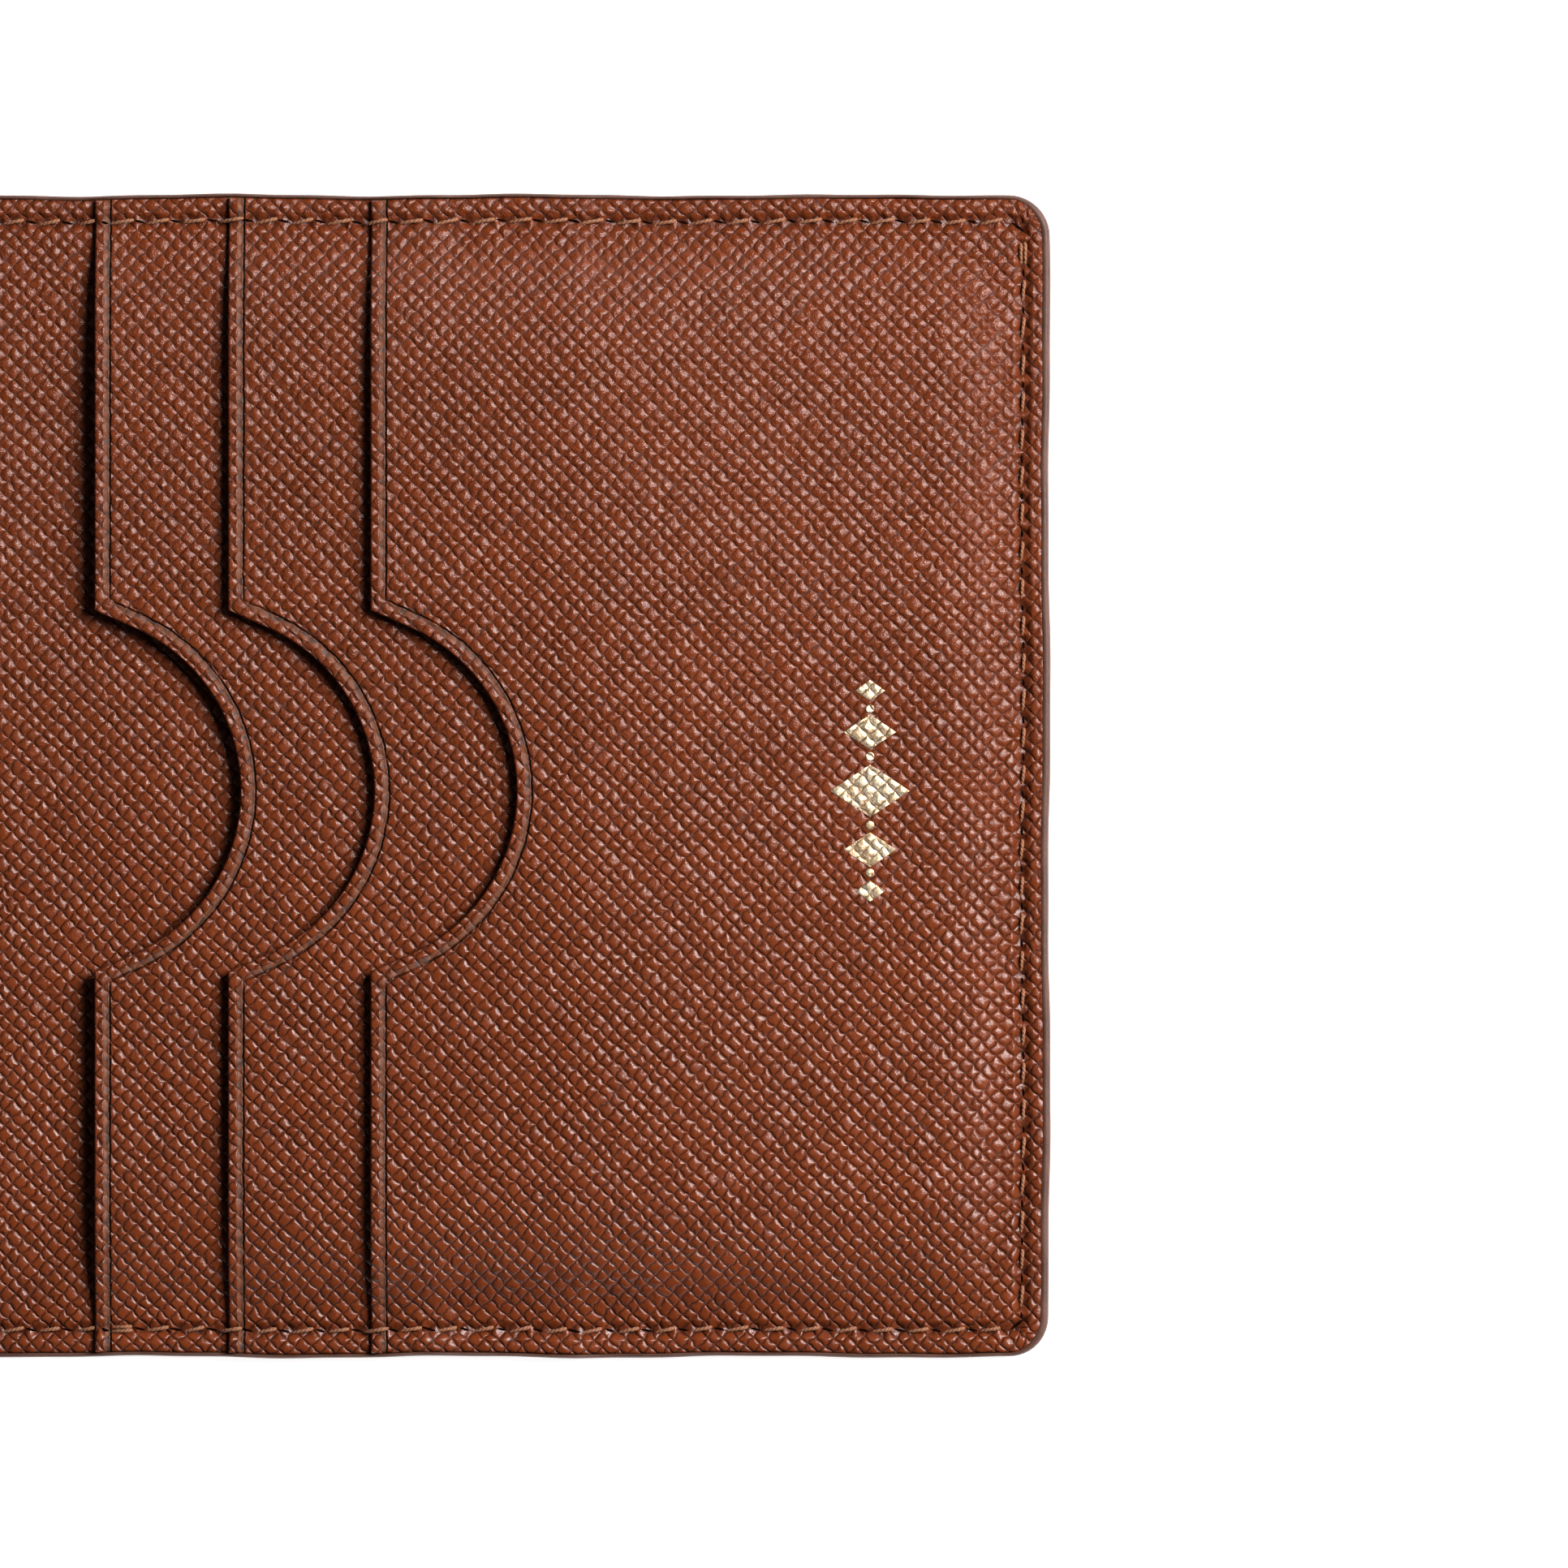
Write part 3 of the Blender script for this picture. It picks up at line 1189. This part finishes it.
def sewn_row_tree():
    """Geometry nodes that lay one small piece on every point of a row, turned along the row."""

    def build(s, given):
        def named(label, kind):
            node = s.node("GeometryNodeInputNamedAttribute", {"Name": label}, data_type=kind)
            return node.outputs["Attribute"]

        def uneven(low, high, seed_shift):
            seed = s.math("ADD", given["Seed"], seed_shift)
            return s.node("FunctionNodeRandomValue", {2: low, 3: high, "Seed": seed},
                          data_type="FLOAT").outputs[1]

        along = s.node("FunctionNodeAlignRotationToVector", {"Vector": named("run", "FLOAT_VECTOR")},
                       axis="X").outputs[0]
        spread = given["Uneven Turn"]
        slant = s.math("ADD", given["Slant"], uneven(s.times(spread, -1.0), spread, 1.0))
        spin = s.node("ShaderNodeCombineXYZ", {2: s.times(slant, named("lean", "FLOAT"))}).outputs[0]
        spin = s.node("FunctionNodeEulerToRotation", {0: spin}).outputs[0]
        turned = s.node("FunctionNodeRotateRotation", {0: along, 1: spin}, rotation_space="LOCAL").outputs[0]
        spread = given["Uneven Size"]
        length = uneven(s.less(1.0, spread), s.math("ADD", 1.0, spread), 2.0)
        size = s.vector(s.times(length, named("size", "FLOAT")), 1.0, 1.0)
        source = s.node("GeometryNodeObjectInfo", {"Object": given["Piece"]})
        place = s.node("GeometryNodeInstanceOnPoints", {
            "Points": given["Points"], "Instance": source.outputs["Geometry"],
            "Rotation": turned, "Scale": size,
        })
        real = s.node("GeometryNodeRealizeInstances", {0: place.outputs[0]})
        coated = s.node("GeometryNodeSetMaterial", {
            "Geometry": real.outputs[0], "Material": given["Material"],
        })
        return {"Row": coated.outputs[0]}

    return node_group(
        "Sewn Row", "GeometryNodeTree",
        [
            ("Points", "NodeSocketGeometry", None), ("Piece", "NodeSocketObject", None),
            ("Slant", "NodeSocketFloat", 0.0), ("Uneven Turn", "NodeSocketFloat", 0.05),
            ("Uneven Size", "NodeSocketFloat", 0.06), ("Seed", "NodeSocketInt", 0),
            ("Material", "NodeSocketMaterial", None),
        ],
        [("Row", "NodeSocketGeometry")],
        build,
    )


Stitch = namedtuple("Stitch", "x y z run_x run_y run_z lean size")


def sewn_row(name, stitches, prototype, side, material, **inputs):
    """Turns a list of stitch places into one plain mesh of real stitches."""
    row = Stitch(*np.array(stitches, float).T)
    x, y, z = settled(row.x, row.y, row.z)
    mesh = bpy.data.meshes.new(name + "_places")
    mesh.from_pydata((np.stack([side * x, y, z], axis=-1) * MM).tolist(), [], [])
    # rows on both halves run towards +X or +Y, so that every stitch keeps its top up
    slope = np.where(np.abs(row.run_x) > 0.5, side, 1) * row.run_z
    run = np.stack([row.run_x, row.run_y, slope], axis=-1).astype(np.float32)
    mesh.attributes.new("run", "FLOAT_VECTOR", "POINT").data.foreach_set("vector", run.ravel())
    give_attribute(mesh, "lean", row.lean * side)
    give_attribute(mesh, "size", row.size)
    holder = new_object(mesh.name, mesh)
    modifier = holder.modifiers.new("Sewn Row", "NODES")
    modifier.node_group = sewn_row_tree()
    sockets = {item.name: item.identifier for item in modifier.node_group.interface.items_tree
               if item.in_out == "INPUT"}
    modifier[sockets["Piece"]] = prototype
    modifier[sockets["Material"]] = material
    for label, value in inputs.items():
        modifier[sockets[label.replace("_", " ").title()]] = value
    evaluated = holder.evaluated_get(bpy.context.evaluated_depsgraph_get())
    plain = bpy.data.meshes.new_from_object(evaluated)
    bpy.data.objects.remove(holder)
    plain.name = name
    return new_object(name, plain)


def evenly(start, end, pitch):
    """Centres that fill a line from start to end at about a pitch."""
    count = round((end - start) / pitch)
    step = (end - start) / count
    return start + step * (np.arange(count) + 0.5)


def slope_at(x, y, dx, dy, height):
    """How much a surface climbs along a stitch."""
    reach = 0.9
    ahead = height(x + dx * reach, y + dy * reach)
    behind = height(x - dx * reach, y - dy * reach)
    return float(ahead - behind) / (2 * reach)


DOUBLED_STITCH = FRONT.mouth - 19  # the lower seam's thread lies double at this stitch


def seam_places(pitch, height, lift):
    """Places of the stitches of one half, and of the needle cuts between them."""
    stitches, cuts = [], []

    def add(rows, x, y, dx, dy, lean, size, shift=0.0):
        z = float(height(x, y)) + shift
        rows.append(Stitch(x, y, z, dx, dy, slope_at(x, y, dx, dy, height), lean, size))

    corner = 1.1  # the seam turns this far before its corner
    for line in (SEAM_Y, -SEAM_Y):
        places = evenly(0.0, SEAM_X - corner, pitch)
        step = places[1] - places[0]
        for number, x in enumerate(places):
            if line < 0 and abs(x - DOUBLED_STITCH) < step / 2:
                for side_shift in (0.16, -0.16):
                    add(stitches, x, line + side_shift, 1, 0, 0.3, 0.9, lift)
            else:
                add(stitches, x, line, 1, 0, 1.0, 0.92 if line < 0 else 1.0, lift)
            if number:
                add(cuts, x - step / 2, line + 0.03, 1, 0, 1.0, 1.0)
    places = evenly(-SEAM_Y + corner, SEAM_Y - corner, pitch * 1.03)
    step = places[1] - places[0]
    for number, y in enumerate(places):
        if number == len(places) - 1:
            for side_shift in (0.17, -0.17):
                add(stitches, SEAM_X + side_shift, y, 0, 1, 0.0, 0.95, lift)
        else:
            add(stitches, SEAM_X, y, 0, 1, -0.5, 0.9, lift)
        add(cuts, SEAM_X + 0.02, y - step / 2, 0, 1, -0.4, 0.6)
    add(cuts, SEAM_X - 0.35, SEAM_Y - 0.4, 0.8, -0.6, 0.0, 1.1)
    add(cuts, SEAM_X - 0.35, -SEAM_Y + 0.4, 0.8, 0.6, 0.0, 1.1)
    return stitches, cuts


def outside_level(x, y):
    """Height of the shell's outer face along the seam, counted downwards."""
    return -(spine_arch(np.asarray(x, float)) + BOBBIN_VALLEY)


class WALLET_OT_sewing(Operator):
    """Sew the seams of both covers and the spine, inside and outside"""

    bl_idname = "wallet.sewing"
    bl_label = "Sewing"

    def execute(self, context):
        sewing = context.scene.wallet_sewing
        prototypes = [new_object(mesh.name, mesh) for mesh in (stitch_mesh(sewing.thread), needle_cut_mesh())]
        stitch, cut = prototypes
        thread, dark = finish("waxed_thread"), finish("needle_cut")
        for side in (RIGHT, LEFT):
            label = SIDE_NAMES[side]
            stitches, cuts = seam_places(sewing.pitch, stack_top, 0.06)
            inside = sewn_row(f"{label}_needle_stitches", stitches, stitch, side, thread,
                              slant=sewing.slant, seed=sewing.seed)
            marks = sewn_row(f"{label}_needle_cuts", cuts, cut, side, dark,
                             slant=-math.radians(15), uneven_size=0.15, seed=sewing.seed + 3)
            stitches, _ = seam_places(sewing.pitch, outside_level, 0.02)
            outside = sewn_row(f"{label}_bobbin_stitches", stitches, stitch, side, thread,
                               slant=sewing.slant, seed=sewing.seed + 5)
            turn_over(outside)
            for piece, node in ((inside, "needle_thread"), (outside, "bobbin_thread"), (marks, None)):
                put_over_fold(piece, side, node)
        for prototype in prototypes:
            bpy.data.objects.remove(prototype)
        return {"FINISHED"}


def turn_over(piece):
    """Puts stitches made on top of a level under it instead."""
    points = get_points(piece.data)
    points[:, 2] = np.maximum(-points[:, 2], 0.01 * MM)
    piece.data.vertices.foreach_set("co", points.ravel())
    piece.data.flip_normals()


# ------------------------------------------------------------------------------------------ foil ornament

LOZENGES = ((0.0, 6.4, 4.2), (4.7, 4.2, 2.8), (8.0, 2.4, 1.7))  # place along the row, width, length
DOTS = (2.75, 6.55)
DOT_RADIUS = 0.35


def lozenge(width, length):
    """Outline of a lozenge, each side in short steps so that it follows the leather."""
    steps = 14
    corners = [(width / 2, 0), (0, length / 2), (-width / 2, 0), (0, -length / 2)]
    return [(ax + (bx - ax) * k / steps, ay + (by - ay) * k / steps)
            for (ax, ay), (bx, by) in zip(corners, corners[1:] + corners[:1]) for k in range(steps)]


def dot():
    """Outline of a dot."""
    return [(DOT_RADIUS * math.cos(a), DOT_RADIUS * math.sin(a))
            for a in np.linspace(0, 2 * math.pi, 20, endpoint=False)]


class WALLET_OT_ornament(Operator):
    """Press the foil ornament on the right front pocket"""

    bl_idname = "wallet.ornament"
    bl_label = "Foil ornament"

    def execute(self, context):
        middle_x, middle_y = ((FOIL_LOW + FOIL_HIGH) / 2)[:2]
        outlines = [(place, lozenge(width, length)) for place, width, length in LOZENGES]
        outlines += [(place, dot()) for place in DOTS]
        work = bmesh.new()
        for place, outline in outlines:
            for shift in (place, -place) if place else (0.0,):
                add_foil(work, middle_x, middle_y + shift, outline)
        mesh = bpy.data.meshes.new("foil_lozenges")
        work.to_mesh(mesh)
        work.free()
        mesh.shade_smooth()
        put_on_cover(new_object(mesh.name, mesh, [finish("gold_foil")]), RIGHT, "foil_ornament")
        return {"FINISHED"}


def add_foil(work, x, y, outline):
    """One piece of foil: rings from its rim to its middle, laid on the leather."""
    rings = []
    for share, lift in ((1.0, -0.05), (1.0, 0.022), (0.98, 0.03), (0.75, 0.03), (0.5, 0.03), (0.25, 0.03)):
        ring = []
        for px, py in outline:
            at_x, at_y = x + px * share, y + py * share
            z = float(sheet_top(FRONT, np.array(at_x), np.array(at_y))) + lift
            ring.append(work.verts.new((at_x * MM, at_y * MM, z * MM)))
        rings.append(ring)
    count = len(outline)
    for lower, upper in zip(rings[:-1], rings[1:]):
        for k in range(count):
            work.faces.new((lower[k], lower[(k + 1) % count], upper[(k + 1) % count], upper[k]))
    work.faces.new(rings[-1])
    work.faces.new(rings[0][::-1])


class WALLET_OT_hidden_layers(Operator):
    """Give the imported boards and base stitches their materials"""

    bl_idname = "wallet.hidden_layers"
    bl_label = "Boards and base stitches"

    def execute(self, context):
        for label in SIDE_NAMES.values():
            for node, material in (
                ("stiffener_board", "bonded_board"), ("pocket_base_thread", "base_thread"),
            ):
                packed = frame["nodes"][f"{label}_{node}"]
                packed.data.materials.clear()
                packed.data.materials.append(finish(material))
        return {"FINISHED"}


# -------------------------------------------------------------------------------------------------- stage

VIEW_WIDTH = 125.6  # millimetres across the picture
VIEW_CENTRE = (HALF_WIDTH - 21.26, -0.65)
CAMERA_HEIGHT = 1100.0
SENSOR = 36.0
LIGHTS_AIM = (54.0, 0, 0)


def area_light(name, watts, size_x, size_y, azimuth, elevation, distance, colour):
    """A soft box aimed at the wallet from a direction."""
    light = bpy.data.lights.new(name, "AREA")
    light.shape = "RECTANGLE"
    light.size, light.size_y = size_x, size_y
    light.energy = watts
    light.color = colour
    holder = bpy.data.objects.new(name, light)
    turn, rise = math.radians(azimuth), math.radians(elevation)
    aim = Vector(LIGHTS_AIM) * MM
    way = Vector((math.cos(rise) * math.cos(turn), math.cos(rise) * math.sin(turn), math.sin(rise)))
    holder.location = aim + way * distance
    holder.rotation_euler = way.to_track_quat("Z", "Y").to_euler()
    bpy.context.scene.collection.objects.link(holder)


class WALLET_OT_stage(Operator):
    """Set the floor, the lights and the camera"""

    bl_idname = "wallet.stage"
    bl_label = "Stage"

    def execute(self, context):
        scene = context.scene
        settings = scene.wallet_stage
        floor_mesh = bpy.data.meshes.new("floor")
        half, level = 3.0, -0.0001
        floor_mesh.from_pydata(
            [(-half, -half, level), (half, -half, level), (half, half, level), (-half, half, level)],
            [], [(0, 1, 2, 3)],
        )
        s, surface = new_material("pale_floor")
        shade = s.noise(object_place(s), 3.0, 2.0)
        coat(s, surface, s.mix(shade, tone((0.93, 0.93, 0.93)), tone((0.95, 0.95, 0.95))), 0.8, plain=[
            ("Specular IOR Level", 0.0), ("Emission Color", (1, 1, 1, 1)), ("Emission Strength", 0.9),
        ])
        new_object("floor", floor_mesh, [finish("pale_floor")])

        area_light("key", settings.key_watts, 0.4, 0.4, 25, 43, 0.75, (1.0, 0.97, 0.96))
        area_light("fill", settings.fill_watts, 0.7, 0.5, 200, 38, 0.9, (1.0, 0.98, 0.96))
        world = bpy.data.worlds.new("studio")
        world.use_nodes = True
        background = world.node_tree.nodes["Background"]
        background.inputs[0].default_value = (1, 1, 1, 1)
        background.inputs[1].default_value = settings.sky
        scene.world = world
        scene.view_settings.view_transform = "Standard"

        camera = bpy.data.cameras.new("camera")
        camera.sensor_width = SENSOR
        camera.lens = SENSOR * CAMERA_HEIGHT / VIEW_WIDTH
        camera.clip_start = 0.01
        holder = bpy.data.objects.new("camera", camera)
        holder.location = (VIEW_CENTRE[0] * MM, VIEW_CENTRE[1] * MM, CAMERA_HEIGHT * MM)
        scene.collection.objects.link(holder)
        scene.camera = holder
        return {"FINISHED"}


class WALLET_PT_panel(Panel):
    """Lists the steps that build the wallet"""

    bl_idname = "WALLET_PT_panel"
    bl_label = "Card Wallet"
    bl_space_type = "VIEW_3D"
    bl_region_type = "UI"
    bl_category = "Wallet"

    def draw(self, context):
        for settings in ("wallet_leather", "wallet_sewing", "wallet_stage"):
            group = getattr(context.scene, settings)
            box = self.layout.box()
            for item in group.bl_rna.properties:
                if item.identifier not in ("rna_type", "name"):
                    box.prop(group, item.identifier)
        for step in STEPS:
            self.layout.operator(step.bl_idname)


SETTINGS = {"wallet_leather": LeatherSettings, "wallet_sewing": SewingSettings, "wallet_stage": StageSettings}
STEPS = (
    WALLET_OT_materials, WALLET_OT_stage, WALLET_OT_shell, WALLET_OT_edge_paint, WALLET_OT_pocket_leather,
    WALLET_OT_pocket_linings, WALLET_OT_sewing, WALLET_OT_ornament, WALLET_OT_hidden_layers,
)


def register():
    """Registers the settings, the steps and the panel."""
    for name, group in SETTINGS.items():
        bpy.utils.register_class(group)
        setattr(bpy.types.Scene, name, PointerProperty(type=group))
    for step in (*STEPS, WALLET_PT_panel):
        bpy.utils.register_class(step)


def unregister():
    """Removes what register() added."""
    for step in reversed((*STEPS, WALLET_PT_panel)):
        bpy.utils.unregister_class(step)
    for name, group in SETTINGS.items():
        delattr(bpy.types.Scene, name)
        bpy.utils.unregister_class(group)


def main():
    """Builds the wallet step by step and writes how large it came out."""
    register()
    bpy.ops.wallet.materials()
    bpy.ops.wallet.stage()
    bpy.ops.wallet.shell()
    bpy.ops.wallet.edge_paint()
    bpy.ops.wallet.pocket_leather()
    bpy.ops.wallet.pocket_linings()
    bpy.ops.wallet.sewing()
    bpy.ops.wallet.ornament()
    bpy.ops.wallet.hidden_layers()


if __name__ == "__main__":
    main()
